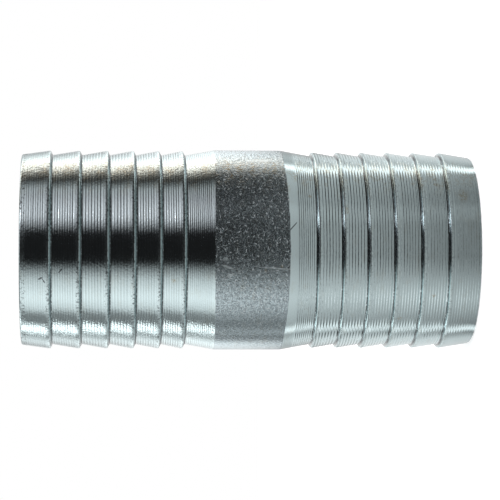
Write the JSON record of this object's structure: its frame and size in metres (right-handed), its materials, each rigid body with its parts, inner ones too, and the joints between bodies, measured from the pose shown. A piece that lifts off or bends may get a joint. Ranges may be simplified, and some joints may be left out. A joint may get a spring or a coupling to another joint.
{
  "type": "insert coupling",
  "caption": "Straight steel coupling for polyethylene pipe: a short open tube with a plain middle band and rows of ring barbs that step down to each end.",
  "frame": {"origin": "centre of the lower end face, on the bore axis", "axes": "+Z along the bore axis, up, from the lower end to the upper end, with the part standing on its lower end"},
  "size_m": [0.0364, 0.0364, 0.0819],
  "materials": {
    "zinc_plated_steel": "bright zinc plate over fine turning marks on both ends, and over dull unturned tube on the middle band"
  },
  "bodies": {
    "root": {"insert_coupling": "zinc_plated_steel"}
  },
  "joints": []
}
